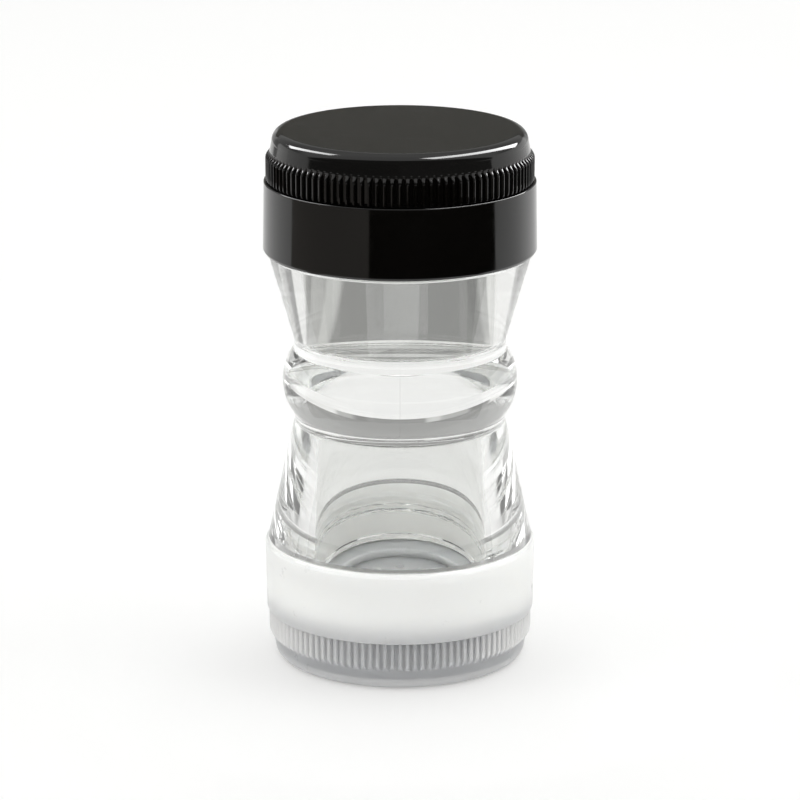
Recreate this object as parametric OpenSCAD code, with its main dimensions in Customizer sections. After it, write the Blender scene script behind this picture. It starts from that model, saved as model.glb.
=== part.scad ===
// Two-ended travel shaker: a clear hourglass body with two separate chambers,
// one closed by a black pepper end and one by a white salt end. Each end is a
// screwed-on collar that carries the sifter, and a knurled screw lid over it.
// Millimetres, +Z up, origin at the centre of the salt lid's flat end face.

/* [Overall] */
// Height of the closed shaker from end face to end face
total_h = 84.2; // [84:0.1:85]

/* [Clear body] */
// Radius of the two narrow waists beside the ring
waist_r = 16.45; // [16:0.05:16.6]
// Radius over the rounded ring
ring_r = 18.3; // [17.8:0.1:18.8]
// Radius of the ring's rounded section
ring_section_r = 8.6; // [7:0.2:9]
// Height of the ring's middle
ring_z = 44.6; // [44:0.1:45]
// Height of the lower waist, where the salt cone starts
salt_waist_z = 38.4; // [37.5:0.1:38.5]
// Height of the upper waist, where the pepper cone starts
pepper_waist_z = 51.1; // [51:0.1:52]
// Radius of the body where the pepper cone meets its collar
pepper_shoulder_r = 20.5; // [20:0.1:20.7]
// Radius of the body where the salt cone meets its collar
salt_shoulder_r = 20.75; // [20:0.05:21]
// Radius of the pepper chamber at its mouth
pepper_mouth_r = 14.9; // [14.3:0.1:15.2]
// Radius of the pepper chamber at its floor
pepper_floor_r = 14.1; // [13:0.1:14.3]
// Height of the pepper chamber's floor
pepper_floor_z = 51.4; // [50:0.2:53]
// Radius of the salt chamber at its mouth
salt_mouth_r = 14.3; // [13.8:0.1:15.2]
// Radius of the salt chamber at its ceiling
salt_ceiling_r = 13.4; // [12.8:0.1:13.8]
// Height of the salt chamber's ceiling
salt_ceiling_z = 37.4; // [35:0.2:38]
// Rounding in the corner of each chamber's closed end
chamber_corner_r = 0.6; // [0.3:0.1:1]

/* [Ends] */
// Height of a lid
lid_h = 7.7; // [7.6:0.1:7.8]
// Radius over the lid's ribs
rib_r = 20.7; // [20.6:0.1:20.9]
// Depth of a flute between two ribs
rib_depth = 0.7; // [0.5:0.1:0.8]
// Number of ribs around a lid
rib_count = 110; // [60:2:120]
// Share of the rib pitch that the rib's top takes
rib_share = 0.4; // [0.3:0.05:0.6]
// Height of the smooth crown above a lid's ribs
crown_h = 3.2; // [3:0.1:3.4]
// Radius of the crown where its side meets the rounded edge
crown_r = 19.7; // [19.5:0.1:19.9]
// Rounding of the lid's outer edge
lid_edge_r = 0.8; // [0.5:0.1:1.2]
// Height of a collar's visible band
collar_h = 11.05; // [10.9:0.05:11.1]
// Radius of a collar at its edge beside the body
collar_r = 21.2; // [21:0.1:21.6]
// Radius of the opening in a collar's deck
deck_hole_r = 12; // [9:0.5:14]
// Thickness of a sifter disc
sifter_t = 1.3; // [1:0.1:1.6]
// Radius of the pepper sifter's holes
pepper_hole_r = 1; // [0.6:0.1:1.2]
// Radius of the salt sifter's holes
salt_hole_r = 0.75; // [0.5:0.05:1]
// Thickness of the silicone disc in a lid
liner_t = 1.3; // [0.8:0.1:1.4]
// Thickness of the silicone ring between body and collar
seal_t = 0.7; // [0.5:0.1:0.8]

/* [Threads] */
// Advance of every screw thread in one turn
thread_pitch = 3; // [2.6:0.1:3]
// Height of a thread's ridge above its wall
ridge_h = 1; // [0.7:0.05:1]
// Turns of the thread between body and collar
collar_turns = 1.5; // [1:0.25:1.5]
// Turns of the thread between collar and lid
lid_turns = 0.75; // [0.5:0.25:0.75]

/* [Hidden] */
$fn = 96;
eps = 0.01;

// Distances from here on are measured outwards from the middle of the height,
// so that one set of modules serves both ends.
middle_z = total_h / 2;
stop_gap = 0.05;
seam_gap = 0.15;
end_face = middle_z;
lid_edge = end_face - lid_h;
collar_top = lid_edge - seam_gap;
collar_edge = collar_top - collar_h;
shoulder = collar_edge - seam_gap;
ledge_t = 1.4;
deck_step = 0.6;
deck_under = collar_top - deck_step - ledge_t;
body_rim = deck_under - seal_t - 2 * stop_gap;

neck_r = 18;
seal_bore_r = 15.3;
collar_bore_r = 19.3;
collar_edge_bevel = 0.6;
collar_edge_len = 1;
collar_draft = 0.2;
shoulder_bevel = 0.3;
lid_neck_r = 17.6;
lid_neck_bore_r = 16.3;
lid_bore_r = 18.95;
lid_top_t = 1.6;
lid_ceiling = end_face - lid_top_t;
lid_neck_top = lid_ceiling - liner_t - stop_gap;
flute_r = rib_r - rib_depth;
rib_end = end_face - crown_h;
sifter_fit = 0.03;

ridge_root_w = 1.3;
ridge_crest_w = 0.7;
ridge_embed = 0.35;
ridge_steps = 30;
ridge_fade = 25;
// A fixed ridge and the ridge that runs under it lie half a pitch apart.
collar_thread_start = shoulder + 1.9;
collar_ridge_start = collar_thread_start - thread_pitch / 2 + thread_pitch * 0.25;
lid_thread_start = collar_top + 1.65;

// Places a piece drawn outwards from the middle at the pepper end.
module at_pepper_end() {
  translate([0, 0, middle_z]) children();
}

// Places the same piece, turned over, at the salt end.
module at_salt_end() {
  translate([0, 0, middle_z]) rotate([180, 0, 0]) children();
}

// Corners of a thread ridge's section, from the smaller radius to the larger.
function ridge_section(r0, w0, r1, w1, angle, z) = [
  for (p = [[r0, -w0], [r1, -w1], [r1, w1], [r0, w0]])
    [p[0] * cos(angle), p[0] * sin(angle), z + p[1] / 2]
];

// How far the ridge has risen at this angle: it fades in and out at its ends.
function ridge_rise(angle, sweep) =
  max(0.02, min(1, angle / ridge_fade, (sweep - angle) / ridge_fade));

// A right-hand ridge around +Z. wall_r is the wall that it stands on, and
// side is 1 for a ridge that points outwards and -1 for one that points in.
module thread_ridge(wall_r, side, z, turns, phase) {
  sweep = 360 * turns;
  count = ceil(ridge_steps * turns);
  points = [
    for (i = [0:count])
      let (
        a = sweep * i / count,
        root = wall_r - side * ridge_embed,
        crest = wall_r + side * ridge_h * ridge_rise(a, sweep),
        zi = z + thread_pitch * a / 360
      )
      each side > 0
        ? ridge_section(root, ridge_root_w, crest, ridge_crest_w, a + phase, zi)
        : ridge_section(crest, ridge_crest_w, root, ridge_root_w, a + phase, zi)
  ];
  sides = [
    for (i = [0:count - 1], k = [0:3])
      let (a = 4 * i + k, b = 4 * i + (k + 1) % 4)
      each [[a, b, a + 4], [b, b + 4, a + 4]]
  ];
  last = 4 * count;
  caps = [[0, 2, 1], [0, 3, 2], [last, last + 1, last + 2], [last, last + 2, last + 3]];
  polyhedron(points = points, faces = concat(sides, caps), convexity = 6);
}

// Half section of a chamber that widens evenly to its mouth, with a rounded
// corner at its closed end. It runs on past the rim, so that it cuts clean.
module chamber_section(closed_r, closed_d, mouth_r) {
  c = chamber_corner_r;
  open_d = body_rim + 1;
  difference() {
    union() {
      polygon([
        [0, closed_d + c], [closed_r, closed_d + c],
        [mouth_r, body_rim], [mouth_r, open_d], [0, open_d]
      ]);
      translate([0, closed_d]) square([closed_r - c, c + eps]);
      translate([closed_r - c, closed_d + c]) circle(r = c);
    }
    translate([-c, closed_d - c]) square([c, open_d]);
  }
}

// Half section of one end of the body: the cone, the shoulder and the neck.
module cone_section(waist_d, shoulder_r) {
  polygon([
    [0, waist_d], [waist_r, waist_d],
    [shoulder_r, shoulder - shoulder_bevel],
    [shoulder_r - shoulder_bevel, shoulder],
    [neck_r, shoulder], [neck_r, body_rim - 0.3],
    [neck_r - 0.3, body_rim], [0, body_rim]
  ]);
}

// The straight waist band and the rounded ring on it.
module ring_section() {
  band_h = pepper_waist_z - salt_waist_z;
  translate([0, salt_waist_z - eps]) square([waist_r, band_h + 2 * eps]);
  intersection() {
    translate([ring_r - ring_section_r, ring_z]) circle(r = ring_section_r);
    translate([waist_r - 1, salt_waist_z]) square([ring_r, band_h]);
  }
}

module clear_body() {
  color([0.86, 0.88, 0.88, 0.45]) difference() {
    union() {
      rotate_extrude() ring_section();
      at_pepper_end() rotate_extrude()
        cone_section(pepper_waist_z - middle_z, pepper_shoulder_r);
      at_salt_end() rotate_extrude()
        cone_section(middle_z - salt_waist_z, salt_shoulder_r);
      at_pepper_end() thread_ridge(neck_r, 1, collar_thread_start, collar_turns, 0);
      at_salt_end() thread_ridge(neck_r, 1, collar_thread_start, collar_turns, 0);
    }
    at_pepper_end() rotate_extrude()
      chamber_section(pepper_floor_r, pepper_floor_z - middle_z, pepper_mouth_r);
    at_salt_end() rotate_extrude()
      chamber_section(salt_ceiling_r, middle_z - salt_ceiling_z, salt_mouth_r);
  }
}

// Silicone ring that closes the joint between the body's rim and the deck.
module body_seal() {
  rotate_extrude()
    translate([seal_bore_r, body_rim + stop_gap]) square([neck_r - seal_bore_r, seal_t]);
}

// Smooth band with the deck, the female thread below and the lid's neck above.
module collar() {
  rotate_extrude() polygon([
    [collar_bore_r, collar_edge],
    [collar_r - collar_edge_bevel, collar_edge],
    [collar_r, collar_edge + collar_edge_len],
    [collar_r - collar_draft, collar_top],
    [lid_neck_r, collar_top],
    [lid_neck_r, lid_neck_top - 0.3],
    [lid_neck_r - 0.3, lid_neck_top],
    [lid_neck_bore_r, lid_neck_top],
    [lid_neck_bore_r, deck_under + ledge_t],
    [deck_hole_r, deck_under + ledge_t],
    [deck_hole_r, deck_under],
    [collar_bore_r, deck_under]
  ]);
  thread_ridge(collar_bore_r, -1, collar_ridge_start, collar_turns / 2, 90);
  thread_ridge(lid_neck_r, 1, lid_thread_start, lid_turns, 0);
}

// Perforated disc that presses into the collar's neck and rests on its ledge.
module sifter(hole_r) {
  rings = [[0, 1], [4.2, 6], [8.4, 12]];
  translate([0, 0, deck_under + ledge_t]) difference() {
    cylinder(r = lid_neck_bore_r - sifter_fit, h = sifter_t);
    for (ring = rings, i = [0:ring[1] - 1])
      rotate([0, 0, 360 * i / ring[1]]) translate([ring[0], 0, -1])
        cylinder(r = hole_r, h = sifter_t + 2, $fn = 32);
  }
}

// Silicone disc that the closed lid presses onto the collar's neck.
module lid_liner() {
  translate([0, 0, lid_ceiling - liner_t]) cylinder(r = lid_bore_r - sifter_fit, h = liner_t);
}

// Outline of the knurled skirt, four corners for each rib.
function rib_outline() = [
  for (i = [0:rib_count - 1])
    let (pitch = 360 / rib_count, half = pitch * rib_share / 2, a = i * pitch)
    each [
      [flute_r, a - half * 1.4], [rib_r, a - half],
      [rib_r, a + half], [flute_r, a + half * 1.4]
    ]
];

module lid() {
  difference() {
    union() {
      translate([0, 0, lid_edge]) linear_extrude(height = rib_end - lid_edge)
        polygon([for (p = rib_outline()) [p[0] * cos(p[1]), p[0] * sin(p[1])]]);
      rotate_extrude() {
        edge_start = end_face - lid_edge_r;
        flat_r = crown_r - lid_edge_r;
        polygon([
          [0, rib_end - eps], [flute_r, rib_end - eps],
          [crown_r, edge_start], [flat_r, end_face], [0, end_face]
        ]);
        intersection() {
          translate([flat_r, edge_start]) circle(r = lid_edge_r);
          translate([flat_r, edge_start]) square(lid_edge_r + eps);
        }
      }
    }
    translate([0, 0, lid_edge - 1]) cylinder(r = lid_bore_r, h = lid_ceiling - lid_edge + 1);
  }
  thread_ridge(lid_bore_r, -1, lid_thread_start - thread_pitch / 4, lid_turns / 2, 90);
}

module pepper_body_seal() { color("gainsboro") at_pepper_end() body_seal(); }
module pepper_collar() { color([0.08, 0.08, 0.08]) at_pepper_end() collar(); }
module pepper_sifter() { color([0.14, 0.14, 0.14]) at_pepper_end() sifter(pepper_hole_r); }
module pepper_lid_liner() { color("gainsboro") at_pepper_end() lid_liner(); }
module pepper_lid() { color([0.05, 0.05, 0.05]) at_pepper_end() lid(); }
module salt_body_seal() { color("gainsboro") at_salt_end() body_seal(); }
module salt_collar() { color("whitesmoke") at_salt_end() collar(); }
module salt_sifter() { color("white") at_salt_end() sifter(salt_hole_r); }
module salt_lid_liner() { color("gainsboro") at_salt_end() lid_liner(); }
module salt_lid() { color("whitesmoke") at_salt_end() lid(); }

clear_body();
pepper_body_seal();
pepper_collar();
pepper_sifter();
pepper_lid_liner();
pepper_lid();
salt_body_seal();
salt_collar();
salt_sifter();
salt_lid_liner();
salt_lid();
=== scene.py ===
"""Looks for the two-ended travel shaker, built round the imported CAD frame.

Every piece is a mesh turned about the shaker's axis. Sizes are in millimetres
and repeat the CAD source's, except that the lid's edge is rounder here. A piece
of one end is drawn outwards from the middle of the height. end_point() and
body_point() put a point in place, in metres.
"""

import math

import bmesh
import bpy
from mathutils import Matrix, Vector


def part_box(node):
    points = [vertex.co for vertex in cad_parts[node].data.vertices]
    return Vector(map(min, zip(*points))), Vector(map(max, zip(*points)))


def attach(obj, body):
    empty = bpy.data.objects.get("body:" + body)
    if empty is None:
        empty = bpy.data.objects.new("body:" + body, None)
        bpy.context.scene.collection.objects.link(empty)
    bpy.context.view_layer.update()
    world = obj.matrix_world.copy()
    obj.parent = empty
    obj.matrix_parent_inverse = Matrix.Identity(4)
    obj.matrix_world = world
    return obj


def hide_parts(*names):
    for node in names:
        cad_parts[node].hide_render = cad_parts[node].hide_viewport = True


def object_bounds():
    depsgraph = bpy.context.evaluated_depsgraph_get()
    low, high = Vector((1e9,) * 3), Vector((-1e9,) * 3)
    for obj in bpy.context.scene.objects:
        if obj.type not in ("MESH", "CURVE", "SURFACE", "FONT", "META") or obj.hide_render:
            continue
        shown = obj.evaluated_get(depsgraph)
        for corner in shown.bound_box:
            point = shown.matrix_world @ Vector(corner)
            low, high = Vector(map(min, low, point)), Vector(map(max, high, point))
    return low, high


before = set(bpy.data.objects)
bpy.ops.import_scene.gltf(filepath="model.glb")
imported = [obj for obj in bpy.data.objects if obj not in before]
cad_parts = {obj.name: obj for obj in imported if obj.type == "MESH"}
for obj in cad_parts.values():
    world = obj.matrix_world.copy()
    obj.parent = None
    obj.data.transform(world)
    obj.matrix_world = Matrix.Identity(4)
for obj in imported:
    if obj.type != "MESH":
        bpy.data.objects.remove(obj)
cad_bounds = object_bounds()

MM = 0.001
MIDDLE = (cad_bounds[0].z + cad_bounds[1].z) / 2 / MM
ENDS = {"pepper": 1, "salt": -1}
PEPPER_SLOT, SALT_SLOT, CLEAR_SLOT, SOFT_SLOT = (
    "black_plastic",
    "white_plastic",
    "clear_plastic",
    "silicone",
)

# Heights outwards from the middle, read from the CAD nodes
LID_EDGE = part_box("pepper_lid")[0].z / MM - MIDDLE
END_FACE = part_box("pepper_lid")[1].z / MM - MIDDLE
COLLAR_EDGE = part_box("pepper_collar")[0].z / MM - MIDDLE
NECK_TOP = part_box("pepper_collar")[1].z / MM - MIDDLE
BODY_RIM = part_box("clear_body")[1].z / MM - MIDDLE
SEAL_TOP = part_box("pepper_body_seal")[1].z / MM - MIDDLE
SEAL_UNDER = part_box("pepper_body_seal")[0].z / MM - MIDDLE
SIFTER_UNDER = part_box("pepper_sifter")[0].z / MM - MIDDLE
LINER_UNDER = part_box("pepper_lid_liner")[0].z / MM - MIDDLE
LINER_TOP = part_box("pepper_lid_liner")[1].z / MM - MIDDLE
SEAM_GAP, STOP_GAP = 0.15, 0.05
SHOULDER = COLLAR_EDGE - SEAM_GAP
COLLAR_TOP = LID_EDGE - SEAM_GAP
DECK_UNDER = SEAL_TOP + STOP_GAP

# Radii and levels of the clear body
WAIST_R = 16.45
RING_R, RING_SECTION_R, RING_Z = 18.3, 8.6, 44.6
SALT_WAIST_Z, PEPPER_WAIST_Z = 38.4, 51.1
PEPPER_SHOULDER_R, SALT_SHOULDER_R = 20.5, 20.75
NECK_R = 18.0
PEPPER_MOUTH_R, PEPPER_FLOOR_R, PEPPER_FLOOR_Z = 14.9, 14.1, 51.4
SALT_MOUTH_R, SALT_CEILING_R, SALT_CEILING_Z = 14.3, 13.4, 37.4
CHAMBER_CORNER_R = 0.6
SHOULDER_ROUND, NECK_BEVEL = 0.3, 0.3

# Radii of the ends
COLLAR_BORE_R, COLLAR_R, COLLAR_TOP_R = 19.3, 21.2, 21.0
LID_NECK_R, LID_NECK_BORE_R, DECK_HOLE_R = 17.6, 16.3, 12.0
LID_BORE_R, FLUTE_R, RIB_R = 18.95, 20.0, 20.7
CROWN_R, CROWN_EDGE_R = 19.75, 1.7
SEAL_BORE_R = 15.3

# Knurl: a rib keeps its full height up to RIB_SHOULDER and is gone at RIB_FADED.
# A flute between two ribs ends in a round arch.
RIB_COUNT = 110
RIB_SHOULDER, RIB_FADED = 37.8, 39.1
FLUTE_ARCH_START, FLUTE_ARCH_H = 38.1, 0.65
FLUTE_HALF = 0.31
# Column places across one pitch, from the middle of a flute at 0
RIB_STEPS = (-0.36, -0.31, -0.27, -0.22, -0.12, 0, 0.12, 0.22, 0.27, 0.31, 0.36, 0.5)

# Threads: half widths of a ridge at its root and crest, and the angle over which
# it fades in and out
PITCH, RIDGE_H = 3.0, 1.0
RIDGE_ROOT, RIDGE_CREST, RIDGE_FADE = 0.65, 0.35, 25.0
COLLAR_TURNS, LID_TURNS = 1.5, 0.75
COLLAR_THREAD = SHOULDER + 1.9
LID_THREAD = COLLAR_TOP + 1.65
THREAD_ROW = 0.14

# Columns round a plain turned piece, the edge angle that stays sharp, and how
# close to a corner the extra row on a long run lies
COLUMNS = 240
SHARP_ANGLE = 32
LONG_RUN, CORNER_ROW = 0.6, 0.02

# Studio: brightness of the wall above the panels, and the sine of the angle up
# to the panels' top, with the blur of that edge
WALL_LEVEL, WALL_TOP, WALL_BLUR = 0.4, 0.2, 0.03
# Panels round the table: (angle from straight behind, towards +X, level), with
# the blur on each side of an edge in degrees
PANEL_BLUR = 0.6
WALL_PANELS = (
    (-180, 0.8), (-62, 0.95), (-41, 0.31), (-28, 0.55), (-15, 0.75), (-9.5, 0.37),
    (11.5, 0.31), (17, 0.55), (25, 1.0),
)
# The wall pales into the ceiling between two tilts above straight behind, and
# past CEILING_END, at the front, only a share of the light is left
CEILING_LEVEL = 0.95
CEILING_START, CEILING_FULL, CEILING_END, CEILING_BLUR = 40, 75, 126, 3
FRONT_SHARE = 0.12
# The table and the flags that lie on it, in metres
TABLE_R = 0.7
CARD_NEAR, CARD_FAR, CARD_LIFT = 0.06, 0.69, 0.0005


def smoothstep(a, b, x):
    """0 below a, 1 above b, and smooth between them."""
    t = min(1.0, max(0.0, (x - a) / (b - a)))
    return t * t * (3 - 2 * t)


def thread(side, start, turns, phase):
    """How far a thread's ridge stands off its wall at an angle and height."""

    def rise(angle, h):
        best = 0.0
        for lap in range(-1, 3):
            a = angle - phase + 360 * lap
            if 0 <= a <= 360 * turns:
                off = abs(h - start - PITCH * a / 360)
                # The flank runs a little past both corners, which rounds them.
                flank = smoothstep(RIDGE_ROOT + 0.06, RIDGE_CREST - 0.04, off)
                fade = min(1, a / RIDGE_FADE, (360 * turns - a) / RIDGE_FADE)
                best = max(best, flank * fade)
        return side * RIDGE_H * best

    return rise


def rounded(points, steps=5):
    """A profile of (r, h, rounding) corners with each corner's arc drawn out."""
    out = []
    for i, p in enumerate(points):
        if len(p) < 3 or i in (0, len(points) - 1):
            out.append(p[:2])
            continue
        here = Vector(p[:2])
        before = (Vector(points[i - 1][:2]) - here).normalized()
        after = (Vector(points[i + 1][:2]) - here).normalized()
        half = before.angle(after) / 2
        centre = here + (before + after).normalized() * (p[2] / math.sin(half))
        reach = p[2] / math.tan(half)
        a0 = here + before * reach - centre
        a1 = here + after * reach - centre
        start = math.atan2(a0.y, a0.x)
        sweep = (math.atan2(a1.y, a1.x) - start + math.pi) % (2 * math.pi) - math.pi
        for k in range(steps + 1):
            t = start + sweep * k / steps
            out.append((centre.x + p[2] * math.cos(t), centre.y + p[2] * math.sin(t)))
    return out


def supported(profile):
    """The profile with extra rows beside each corner of a long straight run,
    so that smooth shading stays true over the run."""
    out = []
    for p, after in zip(profile, profile[1:]):
        out.append(p)
        a, b = Vector(p[:2]), Vector(after[:2])
        length = (b - a).length
        if length > LONG_RUN:
            for t in (CORNER_ROW / length, 0.5, 1 - CORNER_ROW / length):
                out.append(tuple(a.lerp(b, t)))
    return out + [profile[-1]]


def wall_rows(r, h0, h1):
    """Close rows up a wall that carries a thread."""
    count = math.ceil(abs(h1 - h0) / THREAD_ROW)
    return [(r, h0 + (h1 - h0) * i / count) for i in range(count + 1)]


def end_point(side, x, y, h):
    """A point of an end piece, in metres: the salt end is the pepper end turned
    over, so its threads stay right-handed."""
    return x * MM, side * y * MM, (MIDDLE + side * h) * MM


def body_point(_side, x, y, h):
    """A point of the clear body, whose heights are from the floor."""
    return x * MM, y * MM, h * MM


def angles(count):
    """Evenly spaced column angles, in degrees."""
    return [360 * i / count for i in range(count)]


def turned(name, profile, columns, shift=None, place=end_point, side=1, closed=True):
    """A mesh turned from (r, h) rows. shift(angle, r, h) moves a point in or out."""
    bm = bmesh.new()
    rings = []
    for r, h in profile:
        if r < 1e-6:
            rings.append([bm.verts.new(place(side, 0, 0, h))])
            continue
        ring = []
        for a in columns:
            rr = r + (shift(a, r, h) if shift else 0)
            c, s = math.cos(math.radians(a)), math.sin(math.radians(a))
            ring.append(bm.verts.new(place(side, rr * c, rr * s, h)))
        rings.append(ring)
    pairs = list(zip(rings, rings[1:])) + ([(rings[-1], rings[0])] if closed else [])
    count = len(columns)
    for low, high in pairs:
        if len(low) == 1 and len(high) == 1:
            continue
        for i in range(count):
            j = (i + 1) % count
            quad = (low[i % len(low)], low[j % len(low)], high[j % len(high)], high[i % len(high)])
            bm.faces.new(tuple(dict.fromkeys(quad)))
    bmesh.ops.recalc_face_normals(bm, faces=bm.faces)
    for f in bm.faces:
        f.smooth = True
    for e in bm.edges:
        if len(e.link_faces) == 2 and e.calc_face_angle(0) > math.radians(SHARP_ANGLE):
            e.smooth = False
    mesh = bpy.data.meshes.new(name)
    bm.to_mesh(mesh)
    bm.free()
    made = bpy.data.objects.new(name, mesh)
    bpy.context.scene.collection.objects.link(made)
    return made


def fit(made, body, node, material):
    """Puts a finished mesh in place of its CAD node."""
    made.data.materials.append(material)
    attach(made, body)
    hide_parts(node)


# Materials


class Nodes:
    """A material's node tree, with short calls for what the materials share."""

    def __init__(self, name, **plain):
        self.material = bpy.data.materials.new(name)
        self.material.use_nodes = True
        self.tree = self.material.node_tree
        self.shader = self.tree.nodes["Principled BSDF"]
        for key, value in plain.items():
            self.shader.inputs[key.replace("_", " ")].default_value = value
        self.place = self.tree.nodes.new("ShaderNodeTexCoord").outputs["Object"]

    def link(self, a, b):
        self.tree.links.new(a, b)

    def noise(self, scale, detail=2.0, rough=0.5, stretch=None):
        """A noise texture, whose scale is in features per metre."""
        n = self.tree.nodes.new("ShaderNodeTexNoise")
        n.inputs["Scale"].default_value = scale
        n.inputs["Detail"].default_value = detail
        n.inputs["Roughness"].default_value = rough
        source = self.place
        if stretch:
            m = self.tree.nodes.new("ShaderNodeMapping")
            m.inputs["Scale"].default_value = stretch
            self.link(source, m.inputs["Vector"])
            source = m.outputs["Vector"]
        self.link(source, n.inputs["Vector"])
        return n.outputs["Fac"]

    def spread(self, source, low, high, a=0.3, b=0.7):
        """Maps the usual range of a noise onto low to high."""
        m = self.tree.nodes.new("ShaderNodeMapRange")
        for key, value in (("From Min", a), ("From Max", b), ("To Min", low), ("To Max", high)):
            m.inputs[key].default_value = value
        self.link(source, m.inputs["Value"])
        return m.outputs["Result"]

    def blend(self, source, first, second):
        """A colour between two, by source."""
        m = self.tree.nodes.new("ShaderNodeMix")
        m.data_type = "RGBA"
        colours = [s for s in m.inputs if s.type == "RGBA"]
        colours[0].default_value, colours[1].default_value = first, second
        self.link(source, m.inputs["Factor"])
        return [s for s in m.outputs if s.type == "RGBA"][0]

    def bump(self, heights):
        """Chains bumps of (source, height in mm) into the shader's normal."""
        last = None
        for source, depth in heights:
            b = self.tree.nodes.new("ShaderNodeBump")
            b.inputs["Strength"].default_value = 1.0
            b.inputs["Distance"].default_value = depth * MM
            self.link(source, b.inputs["Height"])
            if last:
                self.link(last, b.inputs["Normal"])
            last = b.outputs["Normal"]
        self.link(last, self.shader.inputs["Normal"])


def clear_plastic():
    """Clear moulded plastic: lamps shine through it, and faint flow marks and
    handling haze show where light grazes it."""
    n = Nodes("clear_plastic", Transmission_Weight=1.0, IOR=1.53)
    n.link(
        n.blend(n.noise(40, 3), (0.885, 0.89, 0.88, 1), (0.865, 0.87, 0.86, 1)),
        n.shader.inputs["Base Color"],
    )
    n.link(n.spread(n.noise(160, 4, 0.6), 0.0, 0.002), n.shader.inputs["Roughness"])
    n.bump([(n.noise(90, 1, 0.4, (1, 1, 0.35)), 0.0006)])
    path = n.tree.nodes.new("ShaderNodeLightPath")
    through = n.tree.nodes.new("ShaderNodeBsdfTransparent")
    through.inputs["Color"].default_value = (0.9, 0.91, 0.905, 1)
    mix = n.tree.nodes.new("ShaderNodeMixShader")
    n.link(path.outputs["Is Shadow Ray"], mix.inputs["Fac"])
    n.link(n.shader.outputs["BSDF"], mix.inputs[1])
    n.link(through.outputs["BSDF"], mix.inputs[2])
    n.link(mix.outputs["Shader"], n.tree.nodes["Material Output"].inputs["Surface"])
    return n.material


def black_plastic():
    """Glossy black plastic with moulding ripple, fine grain and handling haze."""
    n = Nodes("black_plastic", IOR=1.5)
    n.link(
        n.blend(n.noise(120, 4, 0.6), (0.0012, 0.0011, 0.001, 1), (0.0028, 0.0024, 0.002, 1)),
        n.shader.inputs["Base Color"],
    )
    n.link(n.spread(n.noise(230, 5, 0.65), 0.05, 0.12), n.shader.inputs["Roughness"])
    n.bump([(n.noise(260, 2), 0.004), (n.noise(3800, 3, 0.6), 0.0008)])
    return n.material


def white_plastic():
    """Milky white plastic that light soaks into, with a satin moulded skin."""
    n = Nodes(
        "white_plastic",
        IOR=1.49,
        Subsurface_Weight=1.0,
        Subsurface_Scale=0.012,
        Subsurface_Radius=(1.0, 0.97, 0.92),
    )
    n.link(
        n.blend(n.noise(90, 4, 0.6), (0.75, 0.748, 0.742, 1), (0.725, 0.722, 0.714, 1)),
        n.shader.inputs["Base Color"],
    )
    n.link(n.spread(n.noise(240, 5, 0.65), 0.26, 0.38), n.shader.inputs["Roughness"])
    n.bump([(n.noise(260, 2), 0.008), (n.noise(4200, 3, 0.6), 0.002)])
    return n.material


def silicone():
    """Matt translucent silicone with a dusty skin."""
    n = Nodes(
        "silicone",
        IOR=1.41,
        Subsurface_Weight=0.6,
        Subsurface_Scale=0.002,
        Subsurface_Radius=(1.0, 1.0, 0.95),
    )
    n.link(
        n.blend(n.noise(300, 4, 0.6), (0.80, 0.80, 0.79, 1), (0.74, 0.74, 0.72, 1)),
        n.shader.inputs["Base Color"],
    )
    n.link(n.spread(n.noise(500, 4, 0.6), 0.5, 0.7), n.shader.inputs["Roughness"])
    n.bump([(n.noise(2600, 3, 0.6), 0.004)])
    return n.material


CLEAR, BLACK, WHITE, SOFT = clear_plastic(), black_plastic(), white_plastic(), silicone()


# Clear body


def ring_arc(steps=56):
    """Rows round the ring, from the salt waist to the pepper waist."""
    centre = RING_R - RING_SECTION_R
    reach = math.acos((WAIST_R - centre) / RING_SECTION_R)
    rows = []
    for i in range(steps + 1):
        t = -reach + 2 * reach * i / steps
        rows.append((centre + RING_SECTION_R * math.cos(t), RING_Z + RING_SECTION_R * math.sin(t)))
    return rows


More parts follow.
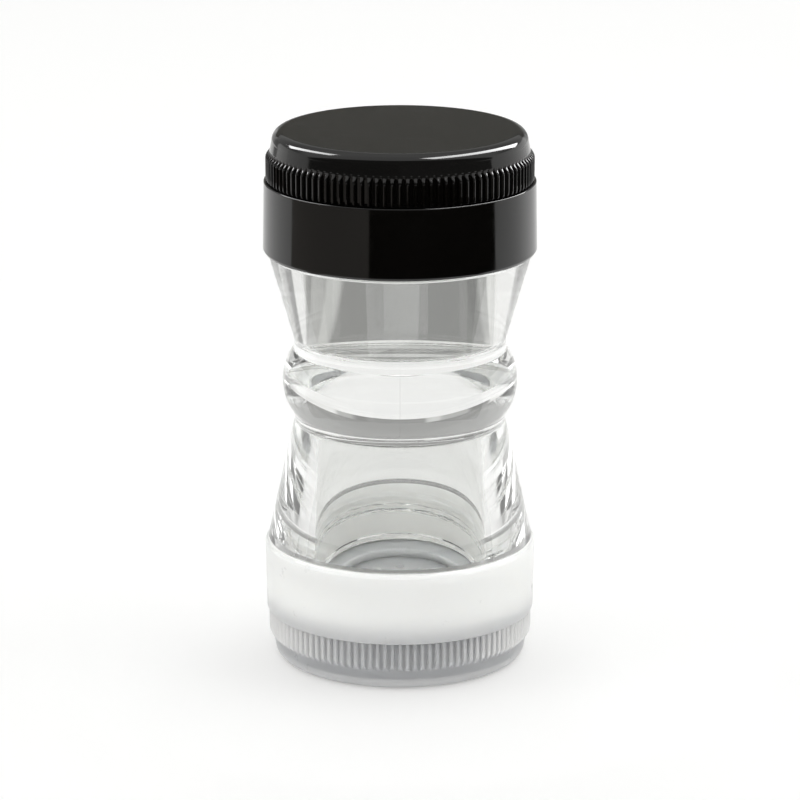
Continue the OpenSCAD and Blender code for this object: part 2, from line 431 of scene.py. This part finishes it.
def clear_body():
    """The clear moulding, drawn from the salt rim up its outside to the pepper
    rim, and back through the two chambers."""
    low_rim, high_rim = MIDDLE - BODY_RIM, MIDDLE + BODY_RIM
    low_shoulder, high_shoulder = MIDDLE - SHOULDER, MIDDLE + SHOULDER
    salt_side = rounded(
        [
            (NECK_R, low_shoulder),
            (SALT_SHOULDER_R, low_shoulder, SHOULDER_ROUND),
            (WAIST_R, SALT_WAIST_Z),
        ]
    )
    pepper_side = rounded(
        [
            (WAIST_R, PEPPER_WAIST_Z),
            (PEPPER_SHOULDER_R, high_shoulder, SHOULDER_ROUND),
            (NECK_R, high_shoulder),
        ]
    )
    salt_chamber = rounded(
        [
            (0, SALT_CEILING_Z),
            (SALT_CEILING_R, SALT_CEILING_Z, CHAMBER_CORNER_R),
            (SALT_MOUTH_R, low_rim),
        ]
    )
    pepper_chamber = rounded(
        [
            (PEPPER_MOUTH_R, high_rim),
            (PEPPER_FLOOR_R, PEPPER_FLOOR_Z, CHAMBER_CORNER_R),
            (0, PEPPER_FLOOR_Z),
        ]
    )
    rim = NECK_BEVEL
    profile = (
        supported([(SALT_MOUTH_R, low_rim), (NECK_R - rim, low_rim)])
        + wall_rows(NECK_R, low_rim + rim, low_shoulder)
        + supported(salt_side)[1:]
        + ring_arc()[1:-1]
        + supported(pepper_side)
        + wall_rows(NECK_R, high_shoulder, high_rim - rim)[1:]
        + supported([(NECK_R - rim, high_rim), (PEPPER_MOUTH_R, high_rim)])
        + supported(pepper_chamber)[1:]
        + supported(salt_chamber)[1:-1]
    )
    ridge = thread(1, COLLAR_THREAD, COLLAR_TURNS, 0)

    def shift(a, r, h):
        if abs(r - NECK_R) > 1e-6:
            return 0
        if h > MIDDLE:
            return ridge(a, h - MIDDLE)
        return ridge((360 - a) % 360, MIDDLE - h)

    made = turned("body_clear", profile, angles(COLUMNS), shift, body_point)
    fit(made, "shell", "clear_body", CLEAR)


# Ends


def collar(end, side, material):
    """A collar with its band, deck and neck, and the threads on both walls."""
    bevel = 0.25
    profile = wall_rows(COLLAR_BORE_R, DECK_UNDER, COLLAR_EDGE) + supported(
        rounded(
            [
                (COLLAR_BORE_R, COLLAR_EDGE),
                (COLLAR_R - bevel, COLLAR_EDGE, 0.12),
                (COLLAR_R, COLLAR_EDGE + 0.45, 0.3),
                (COLLAR_TOP_R, COLLAR_TOP, 0.18),
                (LID_NECK_R, COLLAR_TOP),
            ]
        )
    )[1:]
    profile += wall_rows(LID_NECK_R, COLLAR_TOP, NECK_TOP - 0.3)[1:]
    profile += supported(
        rounded(
            [
                (LID_NECK_R - 0.3, NECK_TOP),
                (LID_NECK_BORE_R, NECK_TOP, 0.15),
                (LID_NECK_BORE_R, SIFTER_UNDER),
                (DECK_HOLE_R, SIFTER_UNDER, 0.3),
                (DECK_HOLE_R, DECK_UNDER, 0.3),
                (COLLAR_BORE_R, DECK_UNDER),
            ]
        )
    )[:-1]
    inner = thread(-1, COLLAR_THREAD - PITCH / 4, COLLAR_TURNS / 2, 90)
    outer = thread(1, LID_THREAD, LID_TURNS, 0)

    def shift(a, r, h):
        if abs(r - COLLAR_BORE_R) < 1e-6:
            return inner(a, h)
        if abs(r - LID_NECK_R) < 1e-6:
            return outer(a, h)
        return 0

    made = turned(f"{end}_collar_shell", profile, angles(COLUMNS), shift, side=side)
    fit(made, f"{end}_top", f"{end}_collar", material)


def rib_columns():
    """Column angles that follow the ribs, closer at a flute's walls."""
    return [(i + u) * 360 / RIB_COUNT for i in range(RIB_COUNT) for u in RIB_STEPS]


def lid(end, side, material):
    """A lid with its knurled skirt, plain crown and threaded bore."""
    h_rows = [LID_EDGE + up for up in (0, 0.12, 0.3, 1.2, 2.4)] + [RIB_SHOULDER]
    h_rows += [RIB_SHOULDER + (RIB_FADED - RIB_SHOULDER) * i / 14 for i in range(1, 15)]
    skirt = [(RIB_R, h) for h in h_rows]
    edge_start, flat_r = END_FACE - CROWN_EDGE_R, CROWN_R - CROWN_EDGE_R
    side_rows = supported([(FLUTE_R - 0.005, RIB_FADED + 0.02), (CROWN_R, edge_start)])
    corner = [
        (
            flat_r + CROWN_EDGE_R * math.cos(math.radians(t)),
            edge_start + CROWN_EDGE_R * math.sin(math.radians(t)),
        )
        for t in range(10, 91, 10)
    ]
    top = [(flat_r - 0.02, END_FACE), (12, END_FACE), (6, END_FACE), (0, END_FACE)]
    ceiling = [
        (0, LINER_TOP),
        (9, LINER_TOP),
        (LID_BORE_R - 0.3, LINER_TOP),
        (LID_BORE_R, LINER_TOP - 0.3),
    ]
    bore = wall_rows(LID_BORE_R, LINER_TOP - 0.35, LID_EDGE + 0.2)
    foot = [
        (LID_BORE_R + 0.05, LID_EDGE + 0.05),
        (LID_BORE_R + 0.2, LID_EDGE),
        (FLUTE_R - 0.3, LID_EDGE),
    ]
    profile = skirt + side_rows + corner + top + ceiling + bore + foot
    ridge = thread(-1, LID_THREAD - PITCH / 4, LID_TURNS / 2, 90)
    pitch = 360 / RIB_COUNT

    def shift(a, r, h):
        """Raises the thread in the bore, and cuts the flutes into the skirt."""
        if abs(r - LID_BORE_R) < 1e-6:
            return ridge(a % 360, h)
        if abs(r - RIB_R) > 1e-6:
            return 0
        t = smoothstep(0, 1, (h - RIB_SHOULDER) / (RIB_FADED - RIB_SHOULDER))
        crest = FLUTE_R + (RIB_R - FLUTE_R) * (1 - t)
        u = abs((a / pitch + 0.5) % 1 - 0.5)
        v = max(0.0, (h - FLUTE_ARCH_START) / FLUTE_ARCH_H)
        wall = smoothstep(0.62, 1.08, (u / FLUTE_HALF) ** 2 + v * v)
        crown = 0.09 * (max(0, 0.5 - u) / (0.5 - FLUTE_HALF)) ** 2
        foot_in = 0.12 * (1 - smoothstep(LID_EDGE, LID_EDGE + 0.25, h))
        depth = (crest - FLUTE_R) * (1 - wall) + crown * wall * (1 - t)
        return crest - depth - foot_in - r

    made = turned(f"{end}_lid_shell", profile, rib_columns(), shift, side=side)
    fit(made, f"{end}_cap", f"{end}_lid", material)


def soft_disc(name, side, low, high, bore_r, outer_r, body, node):
    """A silicone ring or disc with rounded edges."""
    soft = 0.18
    if bore_r:
        corners = [
            ((bore_r + outer_r) / 2, low),
            (outer_r, low, soft),
            (outer_r, high, soft),
            (bore_r, high, soft),
            (bore_r, low, soft),
            ((bore_r + outer_r) / 2 - 0.01, low),
        ]
    else:
        corners = [(0, low), (outer_r, low, soft), (outer_r, high, soft), (0, high)]
    profile = supported(rounded(corners))
    made = turned(name, profile, angles(COLUMNS), side=side, closed=bool(bore_r))
    fit(made, body, node, SOFT)


clear_body()
for end, side in ENDS.items():
    slot, material = (PEPPER_SLOT, BLACK) if side > 0 else (SALT_SLOT, WHITE)
    collar(end, side, material)
    lid(end, side, material)
    soft_disc(
        f"{end}_seal_soft", side, SEAL_UNDER, SEAL_TOP, SEAL_BORE_R, NECK_R,
        f"{end}_seal_ring", f"{end}_body_seal",
    )
    soft_disc(
        f"{end}_liner_soft", side, LINER_UNDER, LINER_TOP - 0.01, 0, LID_BORE_R - 0.03,
        f"{end}_liner_disc", f"{end}_lid_liner",
    )
    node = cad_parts[f"{end}_sifter"]
    node.data.materials.clear()
    node.data.materials.append(material)


# Stage


def flat(name, corners, material):
    """A one-faced piece of the stage."""
    mesh = bpy.data.meshes.new(name)
    mesh.from_pydata(corners, [], [tuple(range(len(corners)))])
    mesh.materials.append(material)
    made = bpy.data.objects.new(name, mesh)
    bpy.context.scene.collection.objects.link(made)
    return made


def floor():
    """A pale round table top with a faint glow, which keeps its shadows soft."""
    n = Nodes("floor", Roughness=0.6, IOR=1.4)
    n.shader.inputs["Base Color"].default_value = (0.9, 0.9, 0.9, 1)
    n.shader.inputs["Specular IOR Level"].default_value = 0.2
    n.shader.inputs["Emission Color"].default_value = (1, 1, 1, 1)
    n.shader.inputs["Emission Strength"].default_value = 0.17
    rim = [
        (TABLE_R * math.cos(math.radians(a)), TABLE_R * math.sin(math.radians(a)), cad_bounds[0].z)
        for a in range(0, 360, 5)
    ]
    flat("floor", rim, n.material)


def only_in_reflections(made):
    """Hides a piece from everything but mirror-like reflections."""
    made.visible_camera = False
    made.visible_diffuse = False
    made.visible_transmission = False
    made.visible_shadow = False


def card(name, level, start, stop):
    """A flag on the table in front, seen only in reflections. Its angles are
    from straight in front, towards +X."""
    n = Nodes(name, Roughness=1.0)
    n.shader.inputs["Base Color"].default_value = (level, level * 0.94, level * 0.88, 1)
    n.shader.inputs["Specular IOR Level"].default_value = 0.0
    steps = [start + (stop - start) * i / 6 for i in range(7)]
    corners = [
        (r * math.sin(math.radians(a)), -r * math.cos(math.radians(a)), CARD_LIFT)
        for r, run in ((CARD_NEAR, steps), (CARD_FAR, steps[::-1]))
        for a in run
    ]
    only_in_reflections(flat(name, corners, n.material))


def back_card():
    """A dim board behind the table, which the lid's flat top mirrors."""
    n = Nodes("board", Roughness=1.0)
    n.shader.inputs["Base Color"].default_value = (0.19, 0.186, 0.17, 1)
    n.shader.inputs["Specular IOR Level"].default_value = 0.0
    low, high, away, half = 0.165, 0.25, 0.55, 0.25
    corners = [(-half, away, low), (half, away, low), (half, away, high), (-half, away, high)]
    only_in_reflections(flat("back_card", corners, n.material))


def lamp(name, place, size, power, along=(0, 0, 1), target=(0, 0, 0.045)):
    """A soft box at place that faces the target, with its second side along
    the given direction."""
    light = bpy.data.lights.new(name, "AREA")
    light.shape = "RECTANGLE"
    (light.size, light.size_y), light.energy = size, power
    made = bpy.data.objects.new(name, light)
    back = (Vector(place) - Vector(target)).normalized()
    across = Vector(along).cross(back).normalized()
    turn = Matrix((across, back.cross(across), back)).transposed()
    made.matrix_world = Matrix.Translation(place) @ turn.to_4x4()
    bpy.context.scene.collection.objects.link(made)
    return made


def surroundings():
    """Pale studio panels at the sides and behind, with a grey gap straight
    behind, a paler ceiling and a dim front."""
    world = bpy.data.worlds.new("studio")
    bpy.context.scene.world = world
    world.use_nodes = True
    tree = world.node_tree
    split = tree.nodes.new("ShaderNodeSeparateXYZ")
    tree.links.new(tree.nodes.new("ShaderNodeTexCoord").outputs["Generated"], split.inputs[0])

    def maths(operation, a, b=0.0):
        m = tree.nodes.new("ShaderNodeMath")
        m.operation = operation
        for socket, value in zip(m.inputs, (a, b)):
            if isinstance(value, float):
                socket.default_value = value
            else:
                tree.links.new(value, socket)
        return m.outputs[0]

    def ramp(source, a, b, low, high):
        m = tree.nodes.new("ShaderNodeMapRange")
        m.interpolation_type = "LINEAR"
        for key, value in (("From Min", a), ("From Max", b), ("To Min", low), ("To Max", high)):
            m.inputs[key].default_value = value
        tree.links.new(source, m.inputs["Value"])
        return m.outputs["Result"]

    x, y, z = split.outputs
    around = ramp(maths("ARCTAN2", x, y), -math.pi, math.pi, 0.0, 1.0)
    panels = tree.nodes.new("ShaderNodeValToRGB")
    stops = panels.color_ramp.elements
    while len(stops) > 1:
        stops.remove(stops[-1])
    place = [(0.0, WALL_PANELS[0][1])]
    for (_, before), (start, level) in zip(WALL_PANELS, WALL_PANELS[1:]):
        place += [
            ((start - PANEL_BLUR) / 360 + 0.5, before),
            ((start + PANEL_BLUR) / 360 + 0.5, level),
        ]
    for k, (at, level) in enumerate(place):
        stop = stops[0] if k == 0 else stops.new(at)
        stop.position = at
        stop.color = (level, level, level, 1)
    tree.links.new(around, panels.inputs["Fac"])
    tilt = maths("ARCTAN2", z, y)
    high = ramp(z, WALL_TOP, WALL_TOP + WALL_BLUR, 0.0, 1.0)
    wall = ramp(
        tilt, math.radians(CEILING_START), math.radians(CEILING_FULL), WALL_LEVEL, CEILING_LEVEL
    )
    lit = maths(
        "ADD",
        maths("MULTIPLY", panels.outputs["Color"], maths("SUBTRACT", 1.0, high)),
        maths("MULTIPLY", high, wall),
    )
    front = (math.radians(CEILING_END), math.radians(CEILING_END + CEILING_BLUR))
    lit = maths("MULTIPLY", lit, ramp(tilt, *front, 1.0, FRONT_SHARE))
    background = tree.nodes["Background"]
    background.inputs["Color"].default_value = (1, 1, 0.985, 1)
    tree.links.new(lit, background.inputs["Strength"])


def camera():
    """The photo's view: a long lens, about 16 degrees above the table."""
    data = bpy.data.cameras.new("camera")
    data.lens, data.sensor_width = 176, 36
    data.clip_start = 0.01
    made = bpy.data.objects.new("camera", data)
    made.location = (0, -0.588, 0.2073)
    aim = Vector((0, 0, 0.041)) - made.location
    made.rotation_euler = aim.to_track_quat("-Z", "Y").to_euler()
    bpy.context.scene.collection.objects.link(made)
    bpy.context.scene.camera = made


floor()
card("front_card", 0.01, -25, 84)
card("left_card", 0.35, -100, -25)
back_card()
surroundings()
lamp("top", (0.06, 0.33, 0.88), (1.2, 1.2), 3.6, (0, 1, 0)).visible_glossy = False
lamp("fill", (-0.1, -0.7, 0.16), (0.8, 0.3), 1.5).visible_glossy = False
for flash in (
    lamp("left", (-0.44, 0.19, 0.48), (0.16, 0.45), 2.8, (-0.37, 0.8, -0.48)),
    lamp("right", (0.39, 0.13, 0.53), (0.2, 0.95), 8.5, (0.37, 0.8, -0.48)),
):
    flash.visible_diffuse = False
    flash.visible_transmission = False
camera()
bpy.context.scene.view_settings.view_transform = "Standard"
bounces = bpy.context.scene.cycles
bounces.max_bounces, bounces.transmission_bounces, bounces.glossy_bounces = 32, 24, 24
